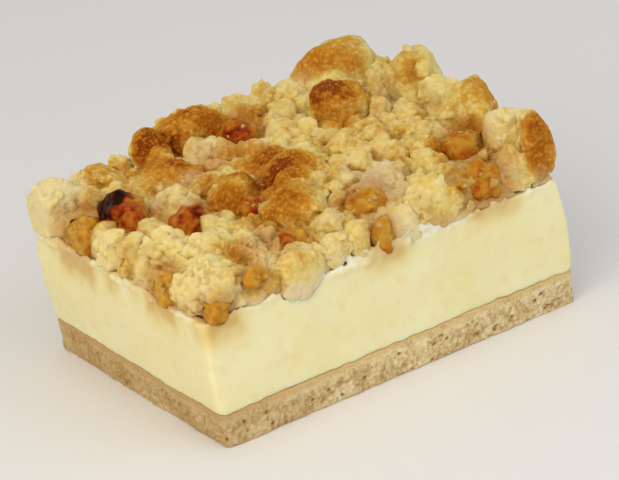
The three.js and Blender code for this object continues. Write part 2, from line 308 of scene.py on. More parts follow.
shader = add_node(
    tree,
    "ShaderNodeBsdfPrincipled",
    {"Base Color": pastry_colour, "Normal": pastry_bump},
    {
        "Roughness": 0.85,
        "Specular IOR Level": 0.2,
        "Subsurface Weight": 0.25,
        "Subsurface Radius": (1.0, 0.6, 0.3),
        "Subsurface Scale": 1.2 * MM,
    },
)
add_node(tree, "ShaderNodeOutputMaterial", {"Surface": shader.outputs["BSDF"]})
finish(base, "base_layer", pastry)

# Filling: a deep layer of soured cream and egg, set in the oven like a custard. The knife leaves it
# smooth and a little bulged. It takes up juice under the apple, and tears into curds at the crumbs.

FILLING_VOXEL = 0.5 * MM
FILLING_TOP = 31 * MM
CURD_DEPTH = 0.5 * MM
CURD = 1.9 * MM
KNIFE_WAVE = 11 * MM
KNIFE_WAVE_DEPTH = 0.16 * MM
STAIN_REACH = 6 * MM
STAIN_SAG = 0.75
STAIN_WAVE = 3 * MM
FOOT_LAP = 0.1 * MM
APPLES = {
    name: [np.array(corner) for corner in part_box(name)]
    for name in sorted(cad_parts)
    if name.startswith("apple_")
}
filling_low, filling_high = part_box("sour_cream_filling")

# Where the soft cut sides belly out: x, y, z, reach and how far, in millimetres
BULGES = [(-47.5, 36, 25, 16, 0.8), (47.5, -37, 14, 14, 0.5), (-47.5, -10, 20, 20, 0.25)]

# Where syrup ran down from the crumble into the cut sides: x, y, z and reach in millimetres, and
# how much of it
RUNS = [
    (-47.5, 28, 31, 7, 0.7), (-47.5, 16, 30, 8, 0.8), (-47.5, 4, 30, 7, 0.8),
    (-47.5, -8, 30, 7, 0.6), (-47.5, -24, 29, 7, 0.8), (-47.5, -36, 29, 6, 0.7),
    (-40, -39, 31, 6, 0.7), (-30, -39, 31, 4, 0.4), (34, -39, 31, 5, 0.4),
]

# Curds of cream that were squeezed up against the crumbs: how many, on which cut face, from where
# to where along it and how far up, in millimetres
CURD_BANKS = [
    (200, (0, -1), -12, 18, 2.8),
    (20, (0, -1), 20, 46, 0.8),
    (24, (0, -1), -46, -10, 0.8),
    (20, (1, 0), -37, 37, 0.8),
    (20, (0, 1), -46, 46, 0.8),
    (70, (-1, 0), -37, 37, 1.0),
]

# The least and the most radius of a curd in millimetres, how much of that radius it lies in from
# the cut face, and where the lowest curds lie against the top of the filling, in millimetres
CURD_RADII = (0.55, 1.1)
CURD_INSETS = (0.35, 1.0)
CURDS_FROM = -0.9

CHIPS = 9
ball = bmesh.new()
bmesh.ops.create_icosphere(ball, subdivisions=2, radius=1.0)
BALL_POINTS = np.array([vertex.co[:] for vertex in ball.verts])
BALL_FACES = np.array([[vertex.index for vertex in face.verts] for face in ball.faces])
ball.free()


def rough_ball(middle, radius, seed):
    """The points of one crumb: a stretched ball with dents, and chips broken off its sides. Small
    crumbs lose the most."""
    own = random.Random(seed)
    shift = np.array([own.uniform(-50, 50) for _ in range(3)])
    stretch = [own.uniform(0.85, 1.4) for _ in range(3)]
    uneven = 0.4 * min(1, 1.8 * MM / radius)
    points = BALL_POINTS * (1 + uneven * waves(BALL_POINTS, 0.7, shift))[:, None] * stretch
    least = 0.4 * max(1, radius / (2 * MM))
    for _ in range(CHIPS):
        chip = np.array([own.gauss(0, 1) for _ in range(3)])
        chip /= np.linalg.norm(chip)
        past = points @ chip - own.uniform(least, least + 0.4)
        points -= np.maximum(past, 0)[:, None] * chip
    return points * radius + middle


def add_crumbs(made, crumbs):
    """Adds crumbs to a mesh. crumbs is a list of middles, radii and seeds."""
    if not crumbs:
        return
    points = np.concatenate([rough_ball(*crumb) for crumb in crumbs])
    faces = np.concatenate([BALL_FACES + len(BALL_POINTS) * i for i in range(len(crumbs))])
    extra = bpy.data.meshes.new("crumbs")
    extra.from_pydata(points.tolist(), [], faces.tolist())
    made.from_mesh(extra)
    bpy.data.meshes.remove(extra)


def near_apple(points, reach, sag):
    """How near each point is to a piece of apple: 1 on it and 0 beyond reach. A sag below 1
    stretches this downwards, as the juice runs."""
    most = np.zeros(len(points))
    for low, high in APPLES.values():
        apart = np.maximum(np.abs(points - (low + high) / 2) - (high - low) / 2, 0)
        apart[:, 2] *= np.where(points[:, 2] < low[2], sag, 1.0)
        most = np.maximum(most, 1 - np.linalg.norm(apart, axis=1) / reach)
    return most


def spot_share(points, x, y, z, reach, steepness):
    """How near each point is to a soft spot: 1 in its middle, and little beyond its reach."""
    apart = np.linalg.norm(points / MM - (x, y, z), axis=1) / reach
    return np.exp(-steepness * apart**2)


half = np.array(filling_high - filling_low)[:2] / 2
draw = random.Random(5)
curds = []
for count, outward, start, end, rise in CURD_BANKS:
    along = (abs(outward[1]), abs(outward[0]))
    for i in range(count):
        radius = draw.uniform(*CURD_RADII) * MM
        inset = draw.uniform(*CURD_INSETS) * radius
        place = draw.uniform(start, end) * MM * np.array(along)
        place = place + np.array(outward) * (half - inset)
        height = FILLING_TOP + draw.uniform(CURDS_FROM, rise) * MM
        curds.append((np.array((*place, height)), radius, 9000 + len(curds)))

made = cad_copy("sour_cream_filling")
for vertex in made.verts:
    if vertex.co.z < filling_low.z + FOOT_LAP:
        vertex.co.z = base_high.z - FOOT_LAP
add_crumbs(made, curds)
filling = one_skin("sour_cream_filling_set", made, FILLING_VOXEL, 5)
merge_hidden(filling, (base_high.z - FOOT_LAP, FILLING_TOP))
points, normals = points_of(filling.data)
near_top = np.clip((points[:, 2] - FILLING_TOP + 1.2 * MM) / (1.4 * MM), 0, 1)
slow = waves(points * (1, 1, 2.2), KNIFE_WAVE)
torn = near_top * (0.3 - grains(points, CURD))
bulge = np.zeros(len(points))
for *spot, out in BULGES:
    bulge += out * MM * spot_share(points, *spot, 2)
shift = KNIFE_WAVE_DEPTH * slow + CURD_DEPTH * torn + bulge
move_out(filling, normals, shift, wavy_line(points, base_high.z))
stain = near_apple(points, STAIN_REACH, STAIN_SAG)
for *spot, strength in RUNS:
    stain = np.maximum(stain, strength * spot_share(points, *spot, 1.5))
store(filling, stain=stain + 0.3 * stain * waves(points, STAIN_WAVE), curd=near_top)

# Set soured cream: dense and milky, with deep soft scattering and a faint moist gloss. Apple juice
# stains it tan from above, and the torn curds at the top are paler than the cut face.
CREAM_MOTTLE = 13 * MM
CREAM_FLECK = 3.5 * MM
CREAM_SKIN = 1.3 * MM
cream, tree = new_material("set_soured_cream")
coordinates = add_node(tree, "ShaderNodeTexCoord").outputs["Object"]
mottle = add_node(
    tree,
    "ShaderNodeTexNoise",
    {"Vector": coordinates},
    {"Scale": 1 / CREAM_MOTTLE, "Detail": 4.0},
).outputs["Fac"]
cream_colour = add_node(
    tree,
    "ShaderNodeValToRGB",
    {"Fac": mottle},
    stops=[(0.3, "#ebe2aa"), (0.7, "#efe9bc")],
).outputs["Color"]
fleck = add_node(
    tree,
    "ShaderNodeTexNoise",
    {"Vector": coordinates},
    {"Scale": 1 / CREAM_FLECK, "Detail": 3.0},
).outputs["Fac"]
fleck_share = add_node(
    tree,
    "ShaderNodeMapRange",
    {"Value": fleck},
    {"From Min": 0.54, "From Max": 0.7, "To Max": 0.5},
).outputs["Result"]
curd = add_node(tree, "ShaderNodeAttribute", attribute_name="curd").outputs["Fac"]
curd_share = add_node(
    tree, "ShaderNodeMath", {0: curd}, {1: 0.8}, operation="MULTIPLY"
).outputs["Value"]
for share, colour in ((fleck_share, "#e8d892"), (curd_share, "#f1e8cc")):
    cream_colour = add_node(
        tree,
        "ShaderNodeMix",
        {"Factor": share, "A": cream_colour},
        {"B": linear(colour)},
        data_type="RGBA",
    ).outputs["Result"]
stain = add_node(tree, "ShaderNodeAttribute", attribute_name="stain").outputs["Fac"]
stain_colour = add_node(
    tree,
    "ShaderNodeValToRGB",
    {"Fac": stain},
    stops=[(0.0, "#e9da92"), (0.5, "#dec26c"), (1.0, "#ca9a40")],
).outputs["Color"]
stain_share = add_node(
    tree,
    "ShaderNodeMapRange",
    {"Value": stain},
    {"From Min": 0.0, "From Max": 1.0, "To Max": 0.72},
    interpolation_type="SMOOTHSTEP",
).outputs["Result"]
cream_colour = add_node(
    tree,
    "ShaderNodeMix",
    {"Factor": stain_share, "A": cream_colour, "B": stain_colour},
    data_type="RGBA",
).outputs["Result"]
skin = add_node(
    tree,
    "ShaderNodeTexNoise",
    {"Vector": coordinates},
    {"Scale": 1 / CREAM_SKIN, "Detail": 3.0},
).outputs["Fac"]
cream_bump = add_node(
    tree, "ShaderNodeBump", {"Height": skin}, {"Strength": 0.45, "Distance": 0.3 * MM}
).outputs["Normal"]
shader = add_node(
    tree,
    "ShaderNodeBsdfPrincipled",
    {"Base Color": cream_colour, "Normal": cream_bump},
    {
        "Roughness": 0.5,
        "Specular IOR Level": 0.3,
        "Subsurface Weight": 0.6,
        "Subsurface Radius": (1.0, 0.75, 0.4),
        "Subsurface Scale": 3.0 * MM,
    },
)
add_node(tree, "ShaderNodeOutputMaterial", {"Surface": shader.outputs["BSDF"]})
finish(filling, "sour_cream_filling", cream)

# Crumble: butter, sugar and flour rubbed into lumps and crumbs and strewn over the filling. Some
# lumps are smooth, some grainy with sugar, and some are heaps of small crumbs.

SMOOTH, ROUGH, GRAINY, CRUMBLY = "smooth", "rough", "grainy", "crumbly"

# For each kind, how far its solid swells, the depth of its dents and of its grain, the share of
# crumbs that stuck on top, and the largest of those
TEXTURES = {
    SMOOTH: (0.3 * MM, 0.4 * MM, 0.08 * MM, 0.1, 0.8 * MM),
    ROUGH: (0.2 * MM, 0.7 * MM, 0.12 * MM, 0.6, 1.7 * MM),
    GRAINY: (0.3 * MM, 0.7 * MM, 0.32 * MM, 0.5, 0.8 * MM),
    CRUMBLY: (-0.2 * MM, 1.0 * MM, 0.12 * MM, 0.9, 1.9 * MM),
}
# Each larger lump: its kind, and how yellow its dough is
LUMPS = {
    "crumb_back_crown": (SMOOTH, 0.7),
    "crumb_back_ball": (GRAINY, 0.8),
    "crumb_left_crown": (GRAINY, 0.7),
    "crumb_left_slab": (GRAINY, 0.7),
    "crumb_back_gold": (GRAINY, 0.7),
    "crumb_back_pale": (ROUGH, 0.7),
    "crumb_back_spike": (ROUGH, 0.8),
    "crumb_back_cream": (ROUGH, 0.4),
    "crumb_middle_gold": (GRAINY, 0.7),
    "crumb_middle_top": (GRAINY, 0.7),
    "crumb_middle_front": (GRAINY, 0.7),
    "crumb_right_peak": (SMOOTH, 0.7),
    "crumb_right_ridge": (CRUMBLY, 0.3),
    "crumb_right_gold": (ROUGH, 0.9),
    "crumb_right_round": (ROUGH, 0.5),
    "crumb_right_end": (SMOOTH, 0.6),
    "crumb_right_low": (CRUMBLY, 0.5),
    "crumb_right_back": (CRUMBLY, 0.4),
    "crumb_right_inner": (CRUMBLY, 0.7),
    "crumb_right_small": (GRAINY, 0.8),
    "crumb_right_front": (ROUGH, 0.6),
    "crumb_front_yellow": (ROUGH, 1.0),
    "crumb_front_beige": (ROUGH, 0.2),
    "crumb_front_sugared": (ROUGH, 0.2),
    "crumb_front_block": (ROUGH, 0.5),
    "crumb_front_upright": (ROUGH, 0.4),
    "crumb_front_hanging": (GRAINY, 0.7),
    "crumb_front_inner": (CRUMBLY, 0.4),
    "crumb_corner_heap": (CRUMBLY, 0.7),
    "crumb_corner_upper": (CRUMBLY, 0.5),
    "crumb_side_pale": (CRUMBLY, 0.7),
    "crumb_side_flake": (ROUGH, 0.6),
    "crumb_far_corner": (ROUGH, 0.1),
    "crumb_far_low": (GRAINY, 0.6),
}

# Where the oven browned the crumble: x, y, z and reach in millimetres, and how brown it got, which
# is at or below 0 where it stayed pale
BROWNED = [
    (29.0, 32.0, 48.5, 5, 0.68), (35.5, 29.4, 48.1, 5, 0.52), (27.2, 34.5, 47.2, 4, 0.55),
    (41.0, 28.9, 44.5, 4, 0.2), (31.0, 27.9, 44.2, 3, 0.05), (23.0, 16.1, 47.8, 4.5, 1.0),
    (24.8, 12.6, 46.8, 3.5, 0.88), (19.9, 16.9, 46.6, 3.5, 0.85), (19.8, 13.2, 43.4, 4, 0.6),
    (24.2, 10.0, 41.8, 4, 0.55), (21.7, 9.9, 39.2, 3, 0.4), (18.1, 16.2, 39.3, 3, 0.4),
    (-6.0, 34.5, 47.5, 3, 0.8), (-3.0, 31.4, 45.3, 4, 0.7), (-0.8, 31.2, 42.8, 3, 0.85),
    (-9.4, 32.6, 46.3, 4, 0.65), (-7.4, 29.5, 42.4, 3, 0.45), (-18.3, 32.0, 45.2, 4, 0.92),
    (-14.9, 30.6, 43.0, 3.5, 0.85), (-20.0, 31.5, 42.4, 3, 0.8), (-22.3, 25.2, 41.9, 4, 0.7),
    (-18.1, 20.7, 41.9, 4, 0.72), (-23.9, 18.1, 40.8, 4, 0.6), (-19.5, 14.8, 38.8, 4, 0.5),
    (-15.4, 16.6, 40.3, 3, 0.5), (-11.7, 1.4, 42.4, 4, 0.75), (-18.6, -2.4, 41.0, 4, 0.68),
    (-11.0, -2.2, 40.6, 4, 0.82), (-16.4, -5.4, 39.3, 3, 0.65), (-20.2, -0.4, 38.0, 3, 0.5),
    (0.1, 7.1, 40.9, 3.5, 0.8), (-2.1, -3.8, 42.3, 5, 0.88), (-6.2, -5.1, 39.7, 4, 0.95),
    (-9.6, -18.0, 42.8, 4, 0.85), (-13.6, -19.0, 40.4, 4, 0.7), (-14.0, -20.7, 37.0, 3, 0.45),
    (1.3, -6.4, 41.3, 4, 0.5), (-5.0, -18.4, 42.0, 4, 0.4), (-0.4, -13.1, 40.1, 3, 0.25),
    (-0.4, 12.3, 41.6, 3, 0.45), (-2.9, 6.9, 40.0, 3, 0.7), (44.3, -15.7, 49.5, 3, 0.45),
    (45.2, -18.1, 46.6, 3.5, 0.58), (40.8, -17.2, 48.2, 3, 0.4), (39.8, 7.2, 47.7, 2.5, 0.5),
    (28.4, -21.3, 40.5, 3, 0.6), (44.7, -38.6, 45.7, 3, 0.8), (44.8, -39.7, 41.0, 4, 0.76),
    (44.5, -39.7, 36.1, 3, 0.65), (42.5, -39.5, 38.0, 2.5, 0.55), (16.0, -39.7, 34.5, 4, 0.36),
    (21.6, -37.7, 37.8, 3, 0.45), (-34.0, 32.3, 40.7, 3, 0.5), (-33.5, 30.8, 38.3, 3, 0.45),
    (8.5, 31.0, 41.2, 3, 0.45), (-11.8, 14.2, 38.1, 6, 0.5), (-18.8, 6.8, 38.6, 5, 0.4),
    (-11.4, 24.1, 38.4, 5, 0.3), (-5.1, 17.3, 39.3, 5, 0.4), (-2.2, 15.3, 41.9, 5, 0.35),
    (-0.9, 30.9, 39.0, 4, 0.3), (-2.4, 7.2, 41.8, 5, 0.7), (-6.8, -1.5, 37.8, 4, 0.8),
    (-3.5, -9.5, 43.5, 4, 0.8), (-8.5, -11.0, 41.5, 4, 0.75), (-10.6, -19.0, 42.0, 5, 0.62),
    (-7.3, -18.2, 42.9, 4, 0.5), (-13.6, -20.1, 39.6, 5, 0.45), (-11.4, -23.4, 38.1, 5, 0.3),
    (-4.5, -21.5, 41.1, 4, 0.2), (4.2, 23.8, 41.7, 5, 0.15), (10.9, 18.6, 42.0, 6, 0.15),
    (19.8, 26.6, 41.7, 5, 0.15), (24.9, -3.0, 40.4, 5, 0.3), (28.0, 10.7, 40.5, 5, 0.25),
    (14.9, -1.5, 41.1, 5, 0.2), (31.4, 0.5, 40.8, 6, 0.22), (38.9, -1.0, 41.1, 5, 0.22),
    (-19.9, -15.6, 38.9, 5, 0.4), (-28.4, -28.2, 40.3, 4, 0.4), (-30.1, -24.6, 38.6, 4, 0.35),
    (-27.7, 31.3, 38.6, 5, 0.45), (-30.7, 32.3, 40.7, 4, 0.35), (-27.2, 22.2, 39.8, 4, 0.35),
    (-39.5, 33.3, 40.9, 5, 0.12), (36.8, -15.6, 43.4, 4, 0.25), (40.8, -20.5, 44.6, 4, 0.3),
    (3.6, -18.5, 37.7, 5, 0.3), (-6.1, -30.7, 40.0, 4, 0.25), (3.2, -13.4, 40.1, 5, 0.2),
    (11.2, -9.2, 39.6, 5, 0.2), (38.5, 9.3, 48.6, 4, 0.3), (41.8, 6.2, 47.0, 4, 0.3),
    (38.5, 16.0, 41.6, 5, 0.2), (29.2, 13.3, 45.8, 4, 0.4), (43.0, 0.0, 44.0, 4, 0.15),
    (-13.6, 31.1, 41.1, 4, 0.65), (-40.6, -31.4, 38.5, 8, 0.02), (-44.5, -36.5, 35.0, 5, 0.0),
    (-31.8, -19.0, 39.0, 6, 0.0), (-39.0, -8.8, 38.0, 6, 0.0), (-44.6, 4.8, 36.0, 5, -0.05),
    (-44.6, 34.4, 38.0, 8, -0.2), (43.4, 0.0, 44.0, 6, 0.0), (16.4, -36.0, 36.0, 6, 0.05),
    (43.0, -27.6, 43.0, 5, -0.1), (-20.0, -38.5, 34.0, 5, 0.12), (7.0, -38.0, 35.0, 5, 0.05),
]
# Where apple syrup soaked into it
SYRUPY = [
    (31.3, -25.5, 40.0, 3, 0.8), (39.0, -25.1, 43.0, 2, 0.8), (40.4, -20.7, 38.9, 2, 0.95),
    (36.7, -35.9, 39.9, 2.5, 0.5), (1.7, -30.8, 38.6, 3, 0.6), (-2.3, -30.1, 37.1, 2.5, 0.5),
    (-21.1, -35.1, 39.4, 2.5, 0.7), (-17.8, -21.1, 36.8, 2.5, 1.0), (-7.4, -0.7, 37.8, 2, 1.0),
    (-9.5, -33.5, 38.0, 2.5, 0.5), (-45.9, 27.9, 34.6, 3, 0.7), (-38.7, 0.0, 38.4, 2.5, 0.9),
    (-45.0, -4.6, 37.2, 2, 0.7), (-47.2, -32.8, 33.4, 2.5, 0.5), (43.8, -38.0, 32.0, 2.5, 0.6),
    (-27.1, -37.4, 32.7, 2, 0.8), (-1.1, 31.0, 41.2, 2, 0.5), (23.0, -31.0, 38.4, 2.5, 0.7),
    (23.7, -38.5, 33.0, 3, 0.7), (12.0, -38.8, 31.8, 2, 0.8), (30.4, -24.8, 39.0, 5, 0.8),
    (33.7, -29.6, 38.4, 5, 0.8), (27.4, -34.9, 38.5, 4, 0.8), (35.6, -35.2, 39.3, 4, 0.6),
    (29.8, -38.8, 34.0, 4, 0.8), (34.1, -38.2, 34.5, 3, 0.6), (27.1, -37.8, 32.0, 4, 0.7),
    (-20.9, -25.4, 36.6, 4, 0.9), (-20.4, -29.7, 38.9, 3, 0.9), (-20.9, -22.3, 38.1, 3, 0.9),
    (-19.8, -17.1, 36.9, 3, 0.8), (-39.1, 4.7, 36.8, 3, 0.8), (-38.5, 9.8, 39.5, 4, 0.8),
    (-40.1, 26.1, 37.4, 4, 0.6), (-45.4, 24.6, 35.5, 4, 0.6), (-40.5, 14.0, 37.1, 4, 0.7),
    (-3.4, 18.1, 40.0, 4, 0.6), (-0.9, 25.9, 39.9, 3, 0.8), (-5.0, 4.1, 38.0, 3, 0.9),
    (-14.1, -8.6, 40.2, 3, 0.7), (-32.9, -3.5, 38.2, 3, 0.5), (-32.0, -16.8, 39.5, 3, 0.5),
    (-24.8, 3.2, 39.4, 2.5, 0.5), (6.5, -23.5, 39.6, 4, 0.5), (1.3, -39.0, 36.0, 4, 0.6),
    (4.3, -31.1, 38.9, 3, 0.5), (11.8, -37.8, 36.8, 3, 0.4), (15.5, -38.8, 31.7, 3, 0.6),
    (21.7, -18.2, 37.3, 3, 0.5), (14.8, -23.7, 39.8, 2.5, 0.6), (20.9, 10.9, 39.2, 3, 0.4),
    (-34.3, -24.2, 37.9, 2.5, 0.5), (-34.3, -34.8, 36.2, 3, 0.5), (-43.3, -10.0, 36.9, 3, 0.5),
    (-45.0, -1.6, 36.5, 3, 0.5),
]
# Where it soaked up cream, which leaves it pale and greyish
MILKY = [
    (9.2, -25.0, 41.2, 6, 0.9), (11.6, -27.7, 38.6, 4, 0.8), (8.1, -15.2, 40.1, 4, 0.5),
    (6.6, -39.6, 33.6, 5, 0.7), (-23.9, 4.4, 40.0, 4, 0.6), (-11.3, -38.9, 32.8, 4, 0.5),
    (37.5, 11.9, 42.6, 4, 0.5), (-27.5, -28.7, 40.1, 3, 0.5),
    (31.0, 6.3, 41.4, 3, 0.35), (-10.8, 14.9, 40.9, 3, 0.45), (25.0, 32.2, 43.4, 3, 0.5),
    (34.0, -36.9, 36.7, 4, 0.35), (43.3, -38.8, 33.7, 2.5, 0.3), (-7.5, -30.9, 40.6, 3, 0.35),
    (-26.7, 12.1, 37.5, 5, 0.5), (-12.9, -38.2, 36.2, 4, 0.4), (-26.0, -31.5, 36.2, 4, 0.5),
    (14.0, -20.7, 42.0, 4, 0.6), (32.2, 4.5, 39.4, 4, 0.3), (11.1, 21.1, 42.5, 5, 0.2),
    (-44.6, 34.4, 38.0, 7, 0.7), (-42.0, -34.0, 37.0, 5, 0.1), (-17.5, 13.0, 39.5, 4, 0.5),
    (-9.0, 23.5, 39.5, 5, 0.7), (33.0, -14.0, 41.0, 4, 0.3),
]


def level_near(points, spots, rest, hold):
    """A level at each point: rest, drawn to each spot's own level near it."""
    total = np.full(len(points), rest * hold)
    weight = np.full(len(points), hold)
    for x, y, z, reach, level in spots:
        apart = np.linalg.norm(points / MM - (x, y, z), axis=1) / reach
        share = np.clip(1 - apart / 1.5, 0, 1) ** 2
        total += share * level
        weight += share
    return total / weight


def hollows(mesh, rounds):
    """How deep each point lies below the skin's own average round it, in metres."""
    points, normals = points_of(mesh)
    ends = np.empty(2 * len(mesh.edges), np.int32)
    mesh.edges.foreach_get("vertices", ends)
    first, second = ends.reshape(-1, 2).T
    count = len(points)
    neighbours = np.bincount(first, minlength=count) + np.bincount(second, minlength=count)
    smooth = points.copy()
    for _ in range(rounds):
        for axis in range(3):
            value = smooth[:, axis].copy()
            total = np.bincount(first, value[second], count)
            total += np.bincount(second, value[first], count)
            smooth[:, axis] = 0.5 * value + 0.5 * total / np.maximum(neighbours, 1)
    return np.einsum("ij,ij->i", smooth - points, normals)


# Single crumbs are thrown on from above and against the cut sides by seeded draws. Each bakes onto
# the piece that it lands on: many small ones, and fewer large ones that are half sunk. Few stay on
# the apple or on the brown crowns, and none on three bare pieces of it. More lie round the foot of
# each lump and each piece of apple. Radii are in millimetres, and how far a crumb stands out from
# the surface is given in shares of its radius.
DROPS = 4600
SIDE_DROPS = 1300
SIDE_RISE = 8
LONG_SIDE_SHARE = 0.55
THROW_FROM = 0.1
EDGE = 0.6 * MM
ROUND_LUMP = 44
ROUND_APPLE = 26
LARGE_SHARE = 0.45
LARGE_RADII = (1.2, 2.8)
SMALL_RADII = (0.45, 1.1)
FOOT_RADII = (0.7, 1.9)
APPLE_FOOT_RADII = (0.4, 0.9)
LARGE_OUT = (-0.7, 0.05)
SMALL_OUT = (-0.4, 0.25)
FOOT_OUT = (-0.4, 0.3)
LARGEST_AT_FOOT = 1.9 * MM
LARGEST_BY_APPLE = 0.8 * MM
ON_APPLE = 0.4
BARE_APPLES = ("apple_charred", "apple_left", "apple_dark_pocket")
BESIDE_APPLE = 1.0 * MM
LUMP_FOOT = 0.45
draw = random.Random(11)
skin_points, skin_faces, skin_owner = [], [], []
for name in ["crumble_bed", *LUMPS, *APPLES]:
    start = len(skin_points)
    skin_points += [vertex.co.copy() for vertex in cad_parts[name].data.vertices]
    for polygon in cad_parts[name].data.polygons:
        skin_faces.append([start + index for index in polygon.vertices])
        skin_owner.append(name)
skin = BVHTree.FromPolygons(skin_points, skin_faces)

most_x = half[0] - EDGE
most_y = half[1] - EDGE


def within_cuts(middle):
    """The middle of a crumb, moved in where it lies too near a cut side."""
    middle[:2] = np.clip(middle[:2], (-most_x, -most_y), (most_x, most_y))
    return middle


thrown = []
for i in range(DROPS + SIDE_DROPS):
    if i < DROPS:
        start = Vector((draw.uniform(-1, 1) * most_x, draw.uniform(-1, 1) * most_y, THROW_FROM))
        heading = Vector((0, 0, -1))
    else:
        side = draw.choice((-1, 1))
        across = draw.uniform(-1, 1)
        rise = FILLING_TOP + draw.uniform(0.3, SIDE_RISE) * MM
        if draw.random() < LONG_SIDE_SHARE:
            start = Vector((across * most_x, side * THROW_FROM, rise))
            heading = Vector((0, -side, 0))
        else:
            start = Vector((side * THROW_FROM, across * most_y, rise))
            heading = Vector((-side, 0, 0))
    large = draw.random() < LARGE_SHARE
    radius = draw.uniform(*(LARGE_RADII if large else SMALL_RADII)) * MM
    out = draw.uniform(*(LARGE_OUT if large else SMALL_OUT))
    hit, normal, index, _ = skin.ray_cast(start, heading)
    if hit is not None:
        thrown.append((i, np.array(hit), np.array(normal), skin_owner[index], radius, out))
places = np.array([hit for _, hit, *_ in thrown])
brown_there = level_near(places, BROWNED, 0.12, 0.1)
apple_there = near_apple(places, BESIDE_APPLE, 1.0)

landed = {name: [] for name in ["crumble_bed", *LUMPS]}
lump_boxes = {name: [np.array(corner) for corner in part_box(name)] for name in LUMPS}
for (i, hit, normal, owner, radius, out), brown, beside in zip(thrown, brown_there, apple_there):
    chance = draw.random()
    if owner in LUMPS:
        low, high = lump_boxes[owner]
        climb = (hit[2] - low[2]) / (high[2] - low[2])
        *_, share, largest = TEXTURES[LUMPS[owner][0]]
        if climb > LUMP_FOOT and chance > share * min(1, 1.5 - 1.6 * brown):
            continue
        radius = min(radius, LARGEST_AT_FOOT if climb < LUMP_FOOT else largest)
    elif owner in APPLES:
        if chance > ON_APPLE or owner in BARE_APPLES:
            continue
        radius, owner = min(radius, LARGEST_BY_APPLE), "crumble_bed"
    elif beside > 0:
        radius = min(radius, LARGEST_BY_APPLE)
    landed[owner].append((within_cuts(hit + normal * radius * out), radius, i))

for name, (low, high) in {**lump_boxes, **APPLES}.items():
    for _ in range(ROUND_LUMP if name in LUMPS else ROUND_APPLE):
        turn = draw.uniform(0, math.tau)
        away = draw.uniform(0.9, 1.2) * (high - low) / 2
        place = (low + high) / 2 + away * (math.cos(turn), math.sin(turn), 0)
        radius = draw.uniform(*(FOOT_RADII if name in LUMPS else APPLE_FOOT_RADII)) * MM
        out = draw.uniform(*FOOT_OUT)
        above = Vector((*place[:2], THROW_FROM))
        hit, normal, index, _ = skin.ray_cast(above, Vector((0, 0, -1)))
        if hit is None or skin_owner[index] in APPLES:
            continue
        owner = name if name in LUMPS and skin_owner[index] == "crumble_bed" else skin_owner[index]
        middle = within_cuts(np.array(hit + normal * radius * out))
        landed[owner].append((middle, radius, 10000 + len(landed[owner])))

# Crumbs of three to ten millimetres, set one by one. They tie the large lumps together, and stand
# along the edge of the bed. The piece that each belongs to, then x, y, z and radius in millimetres.
TIES = [
    ("crumb_middle_front", -3.5, -9.5, 39.5, 4.8),
    ("crumb_middle_front", -9.5, -9.5, 38.0, 3.6),
    ("crumb_middle_top", 4.0, -8.0, 38.5, 3.6),
    ("crumb_middle_top", -4.5, 4.5, 38.0, 3.4),
    ("crumb_middle_gold", -8.5, 5.0, 37.5, 3.0),
    ("crumb_back_crown", 28.5, 26.0, 42.0, 4.4),
    ("crumb_back_crown", 39.5, 27.5, 39.8, 3.4),
    ("crumb_right_peak", 41.2, 8.6, 53.0, 1.6),
    ("crumb_right_peak", 41.6, 8.0, 50.6, 2.2),
    ("crumb_right_peak", 42.0, 3.8, 48.4, 2.6),
    ("crumb_back_ball", 26.0, 23.5, 41.0, 4.0),
    ("crumb_back_ball", 19.0, 11.5, 38.0, 3.6),
    ("crumb_left_slab", -18.5, 28.5, 39.0, 4.0),
    ("crumb_left_slab", -27.0, 20.0, 37.5, 3.2),
    ("crumb_back_gold", -12.0, 35.5, 41.5, 3.4),
    ("crumb_back_gold", 1.5, 33.5, 40.5, 3.2),
    ("crumb_right_gold", 42.5, -20.5, 41.0, 4.2),
    ("crumb_right_gold", 43.5, -7.0, 41.5, 3.8),
    ("crumb_right_peak", 43.5, 5.0, 41.0, 4.0),
    ("crumb_right_peak", 40.0, 17.5, 40.0, 3.8),
    ("crumb_corner_heap", -36.0, -24.5, 36.0, 4.2),
    ("crumb_corner_heap", -33.5, -33.0, 34.5, 3.4),
    ("crumb_side_pale", -35.5, -14.5, 36.0, 3.4),
    ("crumb_front_inner", -21.5, -29.5, 36.5, 3.2),
    ("crumb_front_yellow", 13.5, -29.0, 36.8, 3.6),
    ("crumb_front_beige", 9.5, -30.0, 36.6, 3.8),
    ("crumb_far_corner", -37.5, 33.5, 36.5, 3.6),
    ("crumb_right_round", 40.5, -31.5, 38.0, 3.6),
    ("crumble_bed", 30.5, -39.0, 36.0, 1.9),
    ("crumble_bed", 36.0, -38.0, 36.5, 2.4),
    ("crumble_bed", 40.5, -38.3, 34.5, 1.8),
    ("crumble_bed", 33.5, -31.5, 39.6, 2.0),
    ("crumble_bed", 38.5, -30.5, 40.0, 2.2),
    ("crumble_bed", 36.0, -24.0, 41.0, 2.0),
    ("crumble_bed", 25.5, -26.0, 41.0, 1.8),
    ("crumble_bed", 22.0, -27.5, 40.0, 1.8),
    ("crumble_bed", 43.0, -33.5, 38.0, 2.2),
    ("crumble_bed", 20.5, -36.0, 37.5, 1.9),
    ("crumble_bed", 24.0, -39.0, 33.5, 1.6),
    ("crumble_bed", -46.0, 10.0, 35.5, 1.8),
    ("crumble_bed", -46.5, -4.5, 35.0, 1.6),
    ("crumble_bed", -46.3, -13.5, 34.0, 1.6),
]
for number, (owner, x, y, z, radius) in enumerate(TIES):
    landed[owner].append((np.array((x, y, z)) * MM, radius * MM, 20000 + number))
